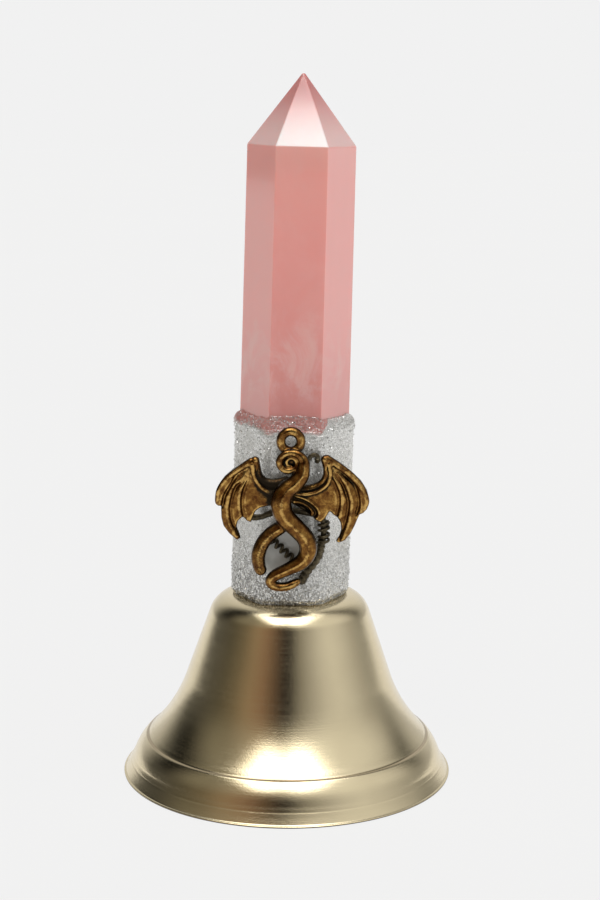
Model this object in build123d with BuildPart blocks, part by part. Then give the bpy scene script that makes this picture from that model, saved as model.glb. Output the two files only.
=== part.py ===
"""Small hand bell: a spun metal bell with a rose quartz point for a handle.

Millimetres, +Z up.  The origin is the centre of the rim's underside, where the bell stands.
The bell is upright.  Its handle was set by hand and leans a little towards +X.
"""
import os
from math import cos, radians, sin, tan

from build123d import *

os.makedirs("parts", exist_ok=True)

# ---------------------------------------------------------------- driving dimensions
RIM_RADIUS = 30.25
BELL_HEIGHT = 33.7
BELL_WALL = 0.9
CROWN_ROUND = 5.0
FLANK_TILT = 19.0
FLANK_FOOT = (18.8, 18.0)
FLARE_FOOT = (25.6, 7.1)
LIP_TOP = (26.05, 6.85)
LIP_BULGE = (27.45, 5.05)
LIP_MIDDLE = (28.3, 3.2)
LIP_WAIST = (29.0, 1.55)
RIM_EDGE_ROUND = 0.25

STUD_RADIUS = 2.0
STUD_LENGTH = 7.2
STUD_CHAMFER = 0.4
FIT_GAP = 0.06
EYE_RADIUS = 2.6
EYE_WIRE = 0.8
EYE_FLANGE_RADIUS = 3.0
EYE_FLANGE_THICKNESS = 0.8
WASHER_RADIUS = 4.5
WASHER_THICKNESS = 0.8
NUT_ACROSS_FLATS = 7.0
NUT_THICKNESS = 3.2

RING_RADIUS = 2.4
RING_WIRE = 0.6
LOOP_RADIUS = 2.0
CLAPPER_WIRE = 0.6
BALL_RADIUS = 5.0
BALL_CLEARANCE = 2.0
BALL_FLAT = 0.35
RIVET_RADIUS = 1.3
RIVET_HEIGHT = 0.5

HANDLE_LEAN = 1.16
HANDLE_SHIFT = 0.4
GLUE_BED = 0.5
GLUE_BED_MARGIN = 1.7

CRYSTAL_HALF_WIDTH = 9.95
CRYSTAL_HALF_FRONT = 4.65
CRYSTAL_HALF_DEPTH = 8.8
CRYSTAL_TAPER = 0.26
CRYSTAL_BASE = 12.0
CRYSTAL_SHOULDER = 80.6
CRYSTAL_TIP = 93.3

COLLAR_HEIGHT = 31.6
COLLAR_WALL = 1.35
COLLAR_CORNER = 4.5
COLLAR_FOOT_ROUND = 2.2
GLAZE_HEIGHT = 2.0
GLAZE_WALL = 0.9

CHARM_HEIGHT = 18.0
CHARM_GAP = 1.7
WING_THICKNESS = 1.2
BODY_LIFT = 1.7
EYELET_CENTRE = (-0.6, 12.3)
EYELET_RADIUS = 1.7
EYELET_WIRE = 0.74
GLUE_DOT_RADIUS = 1.2
GLUE_DOTS = [(-1.4, 2.6), (-4.4, 3.0), (2.6, 2.4), (3.0, -6.2)]

WIRE_LIFT = 0.8
LOOP_WIRE_RADIUS = 0.5
LOOP_ROUTE = [
    (-7.3, -2.1, -2.3),
    (-5.2, -1.3, -0.5),
    (-2.8, -0.8, 0.0),
    (2.2, -0.6, 0.0),
    (5.7, -1.8, -0.7),
    (6.1, -6.6, -0.8),
    (3.4, -10.9, 0.0),
    (1.5, -12.7, 0.0),
]
LOOP_BENDS = [2.0, 3.0, 5.0, 1.2, 3.0, 5.0]
WRAP_RUN = 4
WRAP_SPAN = (0.2, 0.76)
WRAP_RADIUS = 0.8
COIL_START = (-4.4, -4.5, 0.0)
COIL_END = (1.5, -9.9, 0.0)
COIL_RADIUS = 0.7
CURL_ROUTE = [(0.8, 8.0, 0.0), (2.8, 9.6, 0.0), (4.3, 9.3, -0.1), (4.6, 8.5, -0.3)]
CURL_BENDS = [1.0, 0.6]
CURL_WIRE_RADIUS = 0.4
CURL_BEAD_RADIUS = 0.65

# ---------------------------------------------------------------- planes and levels
lean = radians(HANDLE_LEAN)
handle = Plane(
    origin=(HANDLE_SHIFT, 0, BELL_HEIGHT),
    x_dir=(cos(lean), 0, -sin(lean)),
    z_dir=(sin(lean), 0, cos(lean)),
)
crown = Plane.XY.offset(BELL_HEIGHT)
collar_foot = Plane.XY.offset(BELL_HEIGHT + GLUE_BED)

# The charm and the wires lie on the collar's flat front, which faces -Y.
collar_front = Plane(
    origin=handle.from_local_coords((0, -CRYSTAL_HALF_DEPTH - COLLAR_WALL, CHARM_HEIGHT)),
    x_dir=handle.x_dir,
    z_dir=(0, -1, 0),
)
charm_back = collar_front.offset(CHARM_GAP)
wire_plane = collar_front.offset(WIRE_LIFT)

# The eye, the ring and the clapper's loop hang in each other like links of a chain, each turned
# a quarter from the one above it.
washer_level = BELL_HEIGHT - BELL_WALL - WASHER_THICKNESS
flange_level = washer_level - EYE_FLANGE_THICKNESS
eye_centre = flange_level - EYE_RADIUS - EYE_WIRE / 2
ring_pivot = eye_centre - EYE_RADIUS
ring_centre = ring_pivot + EYE_WIRE + FIT_GAP + RING_WIRE - RING_RADIUS
clapper_pivot = ring_centre - RING_RADIUS
loop_centre = clapper_pivot + RING_WIRE + FIT_GAP + CLAPPER_WIRE - LOOP_RADIUS
ball_centre = BALL_CLEARANCE + BALL_RADIUS


def save(piece, name: str):
    """Label a finished piece and write its STEP file."""
    piece.part.label = name
    export_step(piece.part, f"parts/{name}.step")


# ---------------------------------------------------------------- bell
tilt = radians(FLANK_TILT)
flank_down = (sin(tilt), -cos(tilt))
wall_inward = Vector(-cos(tilt), -sin(tilt)) * BELL_WALL
crown_corner = Vector(FLANK_FOOT) - Vector(flank_down) * ((BELL_HEIGHT - FLANK_FOOT[1]) / cos(tilt))
corner_run = CROWN_ROUND * tan(radians(90 - FLANK_TILT) / 2)
crown_edge = crown_corner - Vector(corner_run, 0)
flank_head = crown_corner + Vector(flank_down) * corner_run
inner_flare = Vector(FLARE_FOOT) - Vector(0.7, 0.7) * BELL_WALL
inner_crown_edge = crown_edge - Vector(0, BELL_WALL)
inner_lip = Vector(LIP_MIDDLE) - Vector(BELL_WALL, 0)
stud_hole = STUD_RADIUS + FIT_GAP

with BuildPart() as bell_shell:
    with BuildSketch(Plane.XZ):
        with BuildLine():
            Line((stud_hole, BELL_HEIGHT), crown_edge)
            TangentArc(crown_edge, flank_head, tangent=(1, 0))
            Line(flank_head, FLANK_FOOT)
            TangentArc(FLANK_FOOT, FLARE_FOOT, tangent=flank_down)
            Line(FLARE_FOOT, LIP_TOP)
            ThreePointArc(LIP_TOP, LIP_BULGE, LIP_MIDDLE)
            ThreePointArc(LIP_MIDDLE, LIP_WAIST, (RIM_RADIUS, 0))
            Line((RIM_RADIUS, 0), (RIM_RADIUS - BELL_WALL, 0))
            ThreePointArc((RIM_RADIUS - BELL_WALL, 0), inner_lip, inner_flare)
            TangentArc(FLANK_FOOT + wall_inward, inner_flare, tangent=flank_down)
            Line(FLANK_FOOT + wall_inward, flank_head + wall_inward)
            TangentArc(inner_crown_edge, flank_head + wall_inward, tangent=(1, 0))
            Line(inner_crown_edge, (stud_hole, BELL_HEIGHT - BELL_WALL))
            Line((stud_hole, BELL_HEIGHT - BELL_WALL), (stud_hole, BELL_HEIGHT))
        make_face()
    revolve(axis=Axis.Z)
    fillet(bell_shell.edges().group_by(Axis.Z)[0], RIM_EDGE_ROUND)
save(bell_shell, "bell_shell")

# ---------------------------------------------------------------- crown fittings
with BuildPart() as crown_eye_bolt:
    with Locations((0, 0, eye_centre)):
        Torus(EYE_RADIUS, EYE_WIRE, rotation=(0, 90, 0))
    with BuildSketch(Plane.XY.offset(flange_level - EYE_WIRE)):
        Circle(EYE_WIRE)
    extrude(amount=EYE_WIRE)
    with BuildSketch(Plane.XY.offset(flange_level)):
        Circle(EYE_FLANGE_RADIUS)
    extrude(amount=EYE_FLANGE_THICKNESS)
    with BuildSketch(Plane.XY.offset(washer_level)):
        Circle(STUD_RADIUS)
    extrude(amount=WASHER_THICKNESS + BELL_WALL + STUD_LENGTH)
    chamfer(crown_eye_bolt.edges().group_by(Axis.Z)[-1], STUD_CHAMFER)
save(crown_eye_bolt, "crown_eye_bolt")

for washer_name, washer_base in (("inner_washer", washer_level), ("outer_washer", BELL_HEIGHT)):
    with BuildPart() as washer:
        with BuildSketch(Plane.XY.offset(washer_base)):
            Circle(WASHER_RADIUS)
            Circle(stud_hole, mode=Mode.SUBTRACT)
        extrude(amount=WASHER_THICKNESS)
        fillet(washer.edges().filter_by(GeomType.CIRCLE).group_by(SortBy.LENGTH)[-1], WASHER_THICKNESS / 5)
    save(washer, washer_name)

with BuildPart() as crown_nut:
    with BuildSketch(crown.offset(WASHER_THICKNESS)):
        RegularPolygon(NUT_ACROSS_FLATS / 2, 6, major_radius=False)
        Circle(STUD_RADIUS, mode=Mode.SUBTRACT)
    extrude(amount=NUT_THICKNESS)
save(crown_nut, "crown_nut")

# ---------------------------------------------------------------- clapper chain
with BuildPart() as jump_ring:
    with Locations((0, 0, ring_centre)):
        Torus(RING_RADIUS, RING_WIRE, rotation=(90, 0, 0))
save(jump_ring, "jump_ring")

with BuildPart() as clapper_wire:
    with Locations((0, 0, loop_centre)):
        Torus(LOOP_RADIUS, CLAPPER_WIRE, rotation=(0, 90, 0))
    with BuildSketch(Plane.XY.offset(BALL_CLEARANCE)):
        Circle(CLAPPER_WIRE)
    extrude(amount=loop_centre - LOOP_RADIUS - BALL_CLEARANCE)
    with BuildSketch(Plane.XY.offset(BALL_CLEARANCE + BALL_FLAT - RIVET_HEIGHT)):
        Circle(RIVET_RADIUS)
    extrude(amount=RIVET_HEIGHT)
    fillet(clapper_wire.edges().group_by(Axis.Z)[0], RIVET_HEIGHT / 2)
save(clapper_wire, "clapper_wire")

with BuildPart() as clapper_ball:
    with Locations((0, 0, ball_centre)):
        Sphere(BALL_RADIUS)
    split(bisect_by=Plane.XY.offset(ball_centre - BALL_RADIUS + BALL_FLAT), keep=Keep.TOP)
    split(bisect_by=Plane.XY.offset(ball_centre + BALL_RADIUS - BALL_FLAT), keep=Keep.BOTTOM)
    with Locations((0, 0, ball_centre)):
        Hole(CLAPPER_WIRE)
save(clapper_ball, "clapper_ball")

# ---------------------------------------------------------------- crystal and its setting
section_corners = [
    (CRYSTAL_HALF_WIDTH, 0),
    (CRYSTAL_HALF_FRONT, CRYSTAL_HALF_DEPTH),
    (-CRYSTAL_HALF_FRONT, CRYSTAL_HALF_DEPTH),
    (-CRYSTAL_HALF_WIDTH, 0),
    (-CRYSTAL_HALF_FRONT, -CRYSTAL_HALF_DEPTH),
    (CRYSTAL_HALF_FRONT, -CRYSTAL_HALF_DEPTH),
]


def crystal_section(base: Plane) -> Sketch:
    """The crystal's six-sided section on a plane."""
    with BuildSketch(base) as section:
        with BuildLine():
            Polyline(*section_corners, close=True)
        make_face()
    return section.sketch


def sleeve_section(base: Plane, wall: float, corner: float) -> Sketch:
    """The crystal's section grown by a wall, with its corners rounded."""
    with BuildSketch(base) as section:
        with BuildLine():
            Polyline(*section_corners, close=True)
        make_face()
        offset(amount=wall, kind=Kind.INTERSECTION)
        fillet(section.vertices(), corner)
    return section.sketch


with BuildPart() as crystal_point:
    base_section = crystal_section(handle.offset(CRYSTAL_BASE))
    extrude(base_section, CRYSTAL_SHOULDER - CRYSTAL_BASE, taper=CRYSTAL_TAPER)
    shoulder = crystal_point.faces().sort_by(Axis(handle.origin, handle.z_dir))[-1]
    loft([shoulder, Vertex(*handle.from_local_coords((0, 0, CRYSTAL_TIP)))])
save(crystal_point, "crystal_point")

with BuildPart() as crown_glue_bed:
    extrude(sleeve_section(crown, GLUE_BED_MARGIN - COLLAR_FOOT_ROUND, COLLAR_CORNER), GLUE_BED)
    with BuildSketch(crown):
        Circle(WASHER_RADIUS)
    extrude(amount=GLUE_BED, mode=Mode.SUBTRACT)
save(crown_glue_bed, "crown_glue_bed")

with BuildPart() as epoxy_core:
    extrude(crystal_section(handle), CRYSTAL_BASE)
    split(bisect_by=collar_foot, keep=Keep.TOP)
    with BuildSketch(crown):
        Circle(WASHER_RADIUS)
    extrude(amount=WASHER_THICKNESS, mode=Mode.SUBTRACT)
    with BuildSketch(crown.offset(WASHER_THICKNESS)):
        RegularPolygon(NUT_ACROSS_FLATS / 2, 6, major_radius=False)
    extrude(amount=NUT_THICKNESS, mode=Mode.SUBTRACT)
    with BuildSketch(crown):
        Circle(STUD_RADIUS)
    extrude(amount=STUD_LENGTH, mode=Mode.SUBTRACT)
save(epoxy_core, "epoxy_core")

with BuildPart() as glitter_collar:
    extrude(sleeve_section(handle, COLLAR_WALL, COLLAR_CORNER), COLLAR_HEIGHT)
    split(bisect_by=collar_foot, keep=Keep.TOP)
    fillet(glitter_collar.edges().group_by(Axis.Z)[0], COLLAR_FOOT_ROUND)
    extrude(crystal_section(handle), CRYSTAL_BASE, mode=Mode.SUBTRACT)
    add(crystal_point.part, mode=Mode.SUBTRACT)
save(glitter_collar, "glitter_collar")

with BuildPart() as glaze_rim:
    extrude(sleeve_section(handle.offset(COLLAR_HEIGHT), GLAZE_WALL, COLLAR_CORNER), GLAZE_HEIGHT)
    chamfer(glaze_rim.faces().sort_by(Axis(handle.origin, handle.z_dir))[-1].edges(), GLAZE_WALL / 3)
    add(crystal_point.part, mode=Mode.SUBTRACT)
save(glaze_rim, "glaze_rim")

# ---------------------------------------------------------------- dragon charm
# One zinc casting, drawn on the collar's front: x across, y up, height above the charm's back.


def limb(*stations) -> Part:
    """A rounded limb through stations of x, y, height and radius."""
    with BuildPart() as tube:
        with BuildLine(charm_back) as spine:
            Spline(*[station[:3] for station in stations])
        for station in stations:
            centre = charm_back.from_local_coords(station[:3])
            direction = spine.edge() % spine.edge().param_at_point(centre)
            with BuildSketch(Plane(origin=centre, z_dir=direction)):
                Circle(station[3])
        loft()
    return tube.part


neck_and_tail = limb(
    (-0.4, 8.3, 1.9, 0.5),
    (-1.6, 7.4, 1.9, 0.9),
    (-2.2, 8.9, 1.9, 1.1),
    (-0.5, 10.0, 1.8, 1.2),
    (1.3, 9.2, 1.7, 1.3),
    (1.6, 7.1, 1.7, 1.4),
    (-0.6, 4.4, 1.8, 1.6),
    (-2.2, 1.3, 1.9, 1.9),
    (-1.0, -1.5, 1.8, 1.7),
    (2.2, -4.2, 1.7, 1.5),
    (3.2, -7.0, 1.6, 1.4),
    (1.6, -9.7, 1.4, 1.2),
    (-2.6, -11.3, 1.1, 0.95),
    (-3.4, -12.9, 0.9, 0.8),
    (-0.4, -13.7, 0.8, 0.75),
    (2.0, -12.6, 0.75, 0.6),
)
tail_fork = limb(
    (-0.6, -2.0, 1.2, 1.0),
    (-3.2, -3.5, 1.1, 1.05),
    (-5.6, -6.1, 1.05, 1.05),
    (-6.2, -8.8, 1.05, 1.05),
    (-5.2, -11.7, 1.05, 0.95),
)
left_arm = limb(
    (-2.2, 2.9, 1.3, 0.9),
    (-5.0, 3.2, 1.3, 0.8),
    (-7.0, 5.2, 1.3, 0.75),
    (-7.2, 8.6, 1.3, 0.7),
)
right_arm = limb(
    (0.2, 3.0, 1.3, 0.9),
    (3.4, 3.2, 1.3, 0.8),
    (5.8, 5.0, 1.3, 0.75),
    (5.6, 9.3, 1.3, 0.7),
)

with BuildPart() as dragon_charm:
    with BuildSketch(charm_back):
        with BuildLine():
            ThreePointArc((-6.6, 9.2), (-11.4, 6.4), (-13.6, 1.4))
            ThreePointArc((-13.6, 1.4), (-13.2, 0.7), (-12.4, 0.6))
            ThreePointArc((-12.4, 0.6), (-11.9, -3.2), (-9.3, -5.5))
            ThreePointArc((-9.3, -5.5), (-9.5, -3.1), (-8.7, -1.2))
            ThreePointArc((-8.7, -1.2), (-8.2, -1.9), (-7.2, -2.2))
            ThreePointArc((-7.2, -2.2), (-6.2, 0.3), (-3.6, 1.1))
            Line((-3.6, 1.1), (-1.0, 1.1))
            Line((-1.0, 1.1), (-1.0, 4.4))
            ThreePointArc((-1.0, 4.4), (-4.9, 5.3), (-6.0, 8.6))
            Line((-6.0, 8.6), (-6.6, 9.2))
        make_face()
        with BuildLine():
            ThreePointArc((5.4, 10.1), (10.9, 6.6), (13.4, 1.6))
            ThreePointArc((13.4, 1.6), (13.0, 0.4), (11.7, -0.2))
            ThreePointArc((11.7, -0.2), (10.7, -3.4), (8.1, -5.7))
            ThreePointArc((8.1, -5.7), (8.6, -2.8), (6.5, 0.1))
            ThreePointArc((6.5, 0.1), (5.9, -1.2), (4.9, -2.0))
            ThreePointArc((4.9, -2.0), (2.6, -0.6), (0.4, 0.2))
            Line((0.4, 0.2), (-1.4, 3.2))
            ThreePointArc((-1.4, 3.2), (3.4, 4.1), (4.9, 9.4))
            Line((4.9, 9.4), (5.4, 10.1))
        make_face()
    extrude(amount=WING_THICKNESS)
    with Locations(charm_back.offset(BODY_LIFT / 2)):
        with Locations(EYELET_CENTRE):
            Torus(EYELET_RADIUS, EYELET_WIRE)
    add([neck_and_tail, tail_fork, left_arm, right_arm])
save(dragon_charm, "dragon_charm")

with BuildPart() as charm_glue_dots:
    with BuildSketch(collar_front):
        with Locations(*GLUE_DOTS):
            Circle(GLUE_DOT_RADIUS)
    extrude(amount=CHARM_GAP)
save(charm_glue_dots, "charm_glue_dots")

# ---------------------------------------------------------------- wires behind the charm
# A brass wire bends round behind the charm and carries a close wrap of finer wire on its right.
# A loose coil crosses under it, and a short curl with a bead shows beside the dragon's neck.
# Their solids are the outer shapes that the coils fill.


def round_wire(points: list, bends: list, radius: float) -> Part:
    """A round wire along straight runs joined by tangent bends."""
    with BuildPart() as wire:
        with BuildLine(wire_plane) as route:
            FilletPolyline(*points, radius=bends)
        with BuildSketch(Plane(origin=route.wire() @ 0, z_dir=route.wire() % 0)):
            Circle(radius)
        sweep(path=route.wire())
    return wire.part


def straight_rod(start: Vector, end: Vector, outer: float, bore: float = 0) -> Part:
    """A straight rod or tube between two points on the wire plane."""
    foot = wire_plane.from_local_coords(start)
    head = wire_plane.from_local_coords(end)
    with BuildPart() as rod:
        with BuildSketch(Plane(origin=foot, z_dir=head - foot)):
            Circle(outer)
            if bore:
                Circle(bore, mode=Mode.SUBTRACT)
        extrude(amount=(head - foot).length)
    return rod.part


with BuildPart() as wire_loop:
    add(round_wire(LOOP_ROUTE, LOOP_BENDS, LOOP_WIRE_RADIUS))
save(wire_loop, "wire_loop")

wrap_run = Vector(LOOP_ROUTE[WRAP_RUN + 1]) - Vector(LOOP_ROUTE[WRAP_RUN])
wrap_start = Vector(LOOP_ROUTE[WRAP_RUN]) + wrap_run * WRAP_SPAN[0]
wrap_end = Vector(LOOP_ROUTE[WRAP_RUN]) + wrap_run * WRAP_SPAN[1]
with BuildPart() as wire_wrap:
    add(straight_rod(wrap_start, wrap_end, WRAP_RADIUS, LOOP_WIRE_RADIUS))
save(wire_wrap, "wire_wrap")

with BuildPart() as wire_coil:
    add(straight_rod(Vector(COIL_START), Vector(COIL_END), COIL_RADIUS))
save(wire_coil, "wire_coil")

with BuildPart() as wire_curl:
    add(round_wire(CURL_ROUTE, CURL_BENDS, CURL_WIRE_RADIUS))
    with Locations(wire_plane.from_local_coords(CURL_ROUTE[-1])):
        Sphere(CURL_BEAD_RADIUS)
save(wire_curl, "wire_curl")
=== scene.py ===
"""Looks of the hand bell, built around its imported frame.

Blender works in metres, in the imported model's own frame: +Z up, the rim's centre at the origin and
the charm on the -Y side.  Shapes are worked out in millimetres and scaled when a mesh is made.
"""
from math import cos, pi, radians, sin, sqrt, tan

import bmesh
import bpy
import numpy as np
from mathutils import Matrix, Vector
from mathutils import noise as noise_field


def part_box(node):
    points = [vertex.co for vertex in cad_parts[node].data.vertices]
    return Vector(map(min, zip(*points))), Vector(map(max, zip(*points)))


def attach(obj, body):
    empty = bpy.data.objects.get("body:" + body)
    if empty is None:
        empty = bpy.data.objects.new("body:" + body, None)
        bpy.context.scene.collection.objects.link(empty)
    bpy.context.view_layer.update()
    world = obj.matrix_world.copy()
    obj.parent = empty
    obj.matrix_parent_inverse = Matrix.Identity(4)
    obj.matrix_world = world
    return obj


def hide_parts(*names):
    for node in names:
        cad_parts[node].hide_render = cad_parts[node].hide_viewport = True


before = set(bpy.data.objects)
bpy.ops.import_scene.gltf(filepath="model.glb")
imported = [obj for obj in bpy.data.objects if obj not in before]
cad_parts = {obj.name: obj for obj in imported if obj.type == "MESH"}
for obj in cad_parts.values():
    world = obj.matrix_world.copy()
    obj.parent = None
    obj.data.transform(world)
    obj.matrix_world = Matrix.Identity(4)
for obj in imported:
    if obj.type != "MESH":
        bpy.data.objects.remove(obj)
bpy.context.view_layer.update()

MM = 0.001
SEED = 7


# ---------------------------------------------------------------- sizes read from the frame
def node_points(node):
    """A CAD node's vertices in millimetres."""
    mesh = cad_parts[node].data
    points = np.empty(len(mesh.vertices) * 3)
    mesh.vertices.foreach_get("co", points)
    return points.reshape(-1, 3) / MM


def levels(node):
    """Lowest and highest level of a CAD node in millimetres."""
    low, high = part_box(node)
    return low.z / MM, high.z / MM


RIM_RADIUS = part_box("bell_shell")[1].x / MM
CROWN = levels("bell_shell")[1]

crystal_points = node_points("crystal_point")
APEX = crystal_points[crystal_points[:, 2].argmax()]
base_points = crystal_points[crystal_points[:, 2] < crystal_points[:, 2].min() + 0.5]
base_centre = (base_points.min(0) + base_points.max(0)) / 2
UP = (APEX - base_centre) / np.linalg.norm(APEX - base_centre)
ACROSS = np.array([UP[2], 0.0, -UP[0]])
FOOT = base_centre + UP * (CROWN - base_centre[2]) / UP[2]


def handle_local(points):
    """Row-frame points as across, depth and height on the leaning handle."""
    away = np.asarray(points, float) - FOOT
    return np.stack([away @ ACROSS, away[..., 1], away @ UP], -1)


def on_handle(across, depth, height):
    """Row-frame points of places on the leaning handle."""
    across, depth, height = np.broadcast_arrays(across, depth, height)
    return FOOT + across[..., None] * ACROSS + height[..., None] * UP + depth[..., None] * [0, 1, 0]


local = handle_local(crystal_points)
CRYSTAL_BASE = local[:, 2].min()
CRYSTAL_TIP = local[:, 2].max()
base_local = local[local[:, 2] < CRYSTAL_BASE + 0.1]
HALF_WIDTH = base_local[:, 0].max()
HALF_DEPTH = base_local[:, 1].max()
HALF_FRONT = base_local[base_local[:, 1] > HALF_DEPTH - 0.1][:, 0].max()
CRYSTAL_SHOULDER = local[local[:, 2] < CRYSTAL_TIP - 5][:, 2].max()
shoulder_local = local[abs(local[:, 2] - CRYSTAL_SHOULDER) < 0.1]
TAPER = shoulder_local[:, 0].max() / HALF_WIDTH
CRYSTAL_CORNERS = np.array([(HALF_WIDTH, 0), (HALF_FRONT, HALF_DEPTH), (-HALF_FRONT, HALF_DEPTH),
                            (-HALF_WIDTH, 0), (-HALF_FRONT, -HALF_DEPTH), (HALF_FRONT, -HALF_DEPTH)])

collar_local = handle_local(node_points("glitter_collar"))
COLLAR_TOP = collar_local[:, 2].max()
COLLAR_FRONT = -collar_local[:, 1].min()
GLAZE_TOP = handle_local(node_points("glaze_rim"))[:, 2].max()

charm_local = handle_local(node_points("dragon_charm"))
CHARM_BACK = -charm_local[:, 1].max()
CHARM_MIDDLE = 18.0


# ---------------------------------------------------------------- mesh tools
def piece(name, points, faces, body, material, replaced=(), smooth=True):
    """A finished mesh piece from millimetre points: it rides on a body and has a material."""
    mesh = bpy.data.meshes.new(name)
    mesh.from_pydata((np.asarray(points) * MM).tolist(), [], [tuple(map(int, f)) for f in faces])
    mesh.update()
    if smooth:
        mesh.shade_smooth()
    mesh.materials.append(material)
    made = bpy.data.objects.new(name, mesh)
    bpy.context.scene.collection.objects.link(made)
    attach(made, body)
    if replaced:
        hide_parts(*replaced)
    return made


def unit(vectors):
    """Vectors brought to length 1."""
    return vectors / np.linalg.norm(vectors, axis=-1, keepdims=True)


def grid_faces(rows, columns, wrap_rows=False):
    """Quads of a grid of points stored row by row: every row is a ring, and the rows may be one too."""
    r, c = np.meshgrid(np.arange(rows if wrap_rows else rows - 1), np.arange(columns), indexing="ij")
    first, above, after = r * columns, (r + 1) % rows * columns, (c + 1) % columns
    return np.stack([first + c, first + after, above + after, above + c], -1).reshape(-1, 4)


def capped_faces(rows, columns):
    """Faces of a stack of rings, with a flat face on each end."""
    faces = [tuple(face) for face in grid_faces(rows, columns)]
    faces.append(tuple(range(columns))[::-1])
    faces.append(tuple(range((rows - 1) * columns, rows * columns)))
    return faces


def join(*shapes):
    """Several (points, faces) shapes as one."""
    points, faces, offset = [], [], 0
    for shape_points, shape_faces in shapes:
        points.append(np.asarray(shape_points))
        faces.extend([tuple(int(i) + offset for i in face) for face in shape_faces])
        offset += len(shape_points)
    return np.concatenate(points), faces


def lathe(outline, segments):
    """A closed outline of (radius, level) turned about the bell's axis."""
    turn = np.linspace(0, 2 * pi, segments, endpoint=False)
    radius, level = outline[:, :1], outline[:, 1:]
    points = np.stack([radius * np.cos(turn), radius * np.sin(turn), level + 0 * turn], -1)
    return points.reshape(-1, 3), grid_faces(len(outline), segments, wrap_rows=True)


def spline(points, count):
    """Points of any width resampled along a Catmull-Rom curve."""
    points = np.asarray(points, float)
    padded = np.concatenate([[2 * points[0] - points[1]], points, [2 * points[-1] - points[-2]]])
    place = np.linspace(0, len(points) - 1, count)
    first = np.minimum(place.astype(int), len(points) - 2)
    t = (place - first)[:, None]
    a, b, c, d = (padded[first + k] for k in range(4))
    return b + 0.5 * t * (c - a + t * (2 * a - 5 * b + 4 * c - d + t * (3 * (b - c) + d - a)))


def tube(path, radius, sides):
    """A round tube along a path, with rounded ends."""
    path = np.asarray(path, float)
    radius = np.broadcast_to(radius, len(path)).astype(float)
    cap = np.array([1.0, 0.92, 0.71, 0.38])
    shrink = np.sqrt(1 - cap**2)
    start = path[0] + unit(path[0] - path[1]) * (cap * radius[0])[:, None]
    end = path[-1] + unit(path[-1] - path[-2]) * (cap * radius[-1])[::-1, None]
    path = np.concatenate([start, path, end])
    radius = np.concatenate([shrink * radius[0] + 1e-3, radius, (shrink * radius[-1] + 1e-3)[::-1]])
    step = unit(np.gradient(path, axis=0))
    side = np.cross(step[0], [0.3, 0.5, 0.8])
    turn = np.linspace(0, 2 * pi, sides, endpoint=False)
    rings = []
    for centre, along, size in zip(path, step, radius):
        side = unit(side - along * (side @ along))
        up = np.cross(along, side)
        rings.append(centre + size * (np.cos(turn)[:, None] * side + np.sin(turn)[:, None] * up))
    return np.concatenate(rings), capped_faces(len(path), sides)


def helix(route, radius, turns, per_turn, phase):
    """Points of a coil that winds round a route."""
    route = spline(route, int(turns * per_turn))
    along = unit(np.gradient(route, axis=0))
    side = unit(np.cross(along, [0, 1, 0.01]))
    up = np.cross(along, side)
    angle = phase + np.linspace(0, 2 * pi * turns, len(route))[:, None]
    return route + radius * (np.cos(angle) * side + np.sin(angle) * up)


# ---------------------------------------------------------------- material tools
def material(name):
    """A new material and its node tree."""
    made = bpy.data.materials.new(name)
    made.use_nodes = True
    return made, made.node_tree


def feed(node, inputs):
    """A node's inputs linked to sockets or set to values."""
    for key, value in inputs.items():
        if isinstance(value, bpy.types.NodeSocket):
            node.id_data.links.new(value, node.inputs[key])
        else:
            node.inputs[key].default_value = value


def dress(made, inputs):
    """The material, with the inputs of its Principled shader linked or set."""
    feed(made.node_tree.nodes["Principled BSDF"], inputs)
    return made


def put(tree, kind, inputs=None, **settings):
    """A new node with its settings made and its inputs linked or set."""
    node = tree.nodes.new(kind)
    for key, value in settings.items():
        setattr(node, key, value)
    feed(node, inputs or {})
    return node


def follow(kind, inputs, **settings):
    """A new node in the tree of the first socket among its inputs."""
    tree = next(value.id_data for value in inputs.values() if isinstance(value, bpy.types.NodeSocket))
    return put(tree, kind, inputs, **settings)


def xyz(vector):
    """The three parts of a vector."""
    return follow("ShaderNodeSeparateXYZ", {0: vector}).outputs


def maths(operation, a, b=0.0, c=0.0):
    """The result of a Math node."""
    return follow("ShaderNodeMath", {0: a, 1: b, 2: c}, operation=operation).outputs[0]


def ramp(value, stops):
    """Colour of a value by a ramp of (place, colour) stops."""
    node = follow("ShaderNodeValToRGB", {0: value})
    elements = node.color_ramp.elements
    while len(elements) < len(stops):
        elements.new(0.5)
    for element, (place, colour) in zip(elements, stops):
        element.position = place
        element.color = (*colour, 1)
    return node.outputs["Color"]


def span(value, low, high, to_low=0.0, to_high=1.0):
    """A value smoothly mapped from one range to another."""
    inputs = {"Value": value, "From Min": low, "From Max": high, "To Min": to_low, "To Max": to_high}
    return follow("ShaderNodeMapRange", inputs, interpolation_type="SMOOTHSTEP").outputs[0]


def blend(factor, a, b, mode="MIX"):
    """Two colours mixed by a factor; the second may be a plain (r, g, b)."""
    if isinstance(b, tuple):
        b = (*b, 1)
    return follow("ShaderNodeMix", {0: factor, 6: a, 7: b}, data_type="RGBA", blend_type=mode).outputs[2]


def noise(where, scale, detail=3.0, rough=0.5, distortion=0.0):
    """A noise texture's value at a place."""
    inputs = {"Vector": where, "Scale": scale, "Detail": detail, "Roughness": rough, "Distortion": distortion}
    return follow("ShaderNodeTexNoise", inputs).outputs["Fac"]


def cells(where, scale):
    """Three random values for the cell of a Voronoi texture that a place is in."""
    cell = follow("ShaderNodeTexVoronoi", {"Vector": where, "Scale": scale, "Randomness": 1.0})
    return follow("ShaderNodeSeparateColor", {0: cell.outputs["Color"]}).outputs


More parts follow.
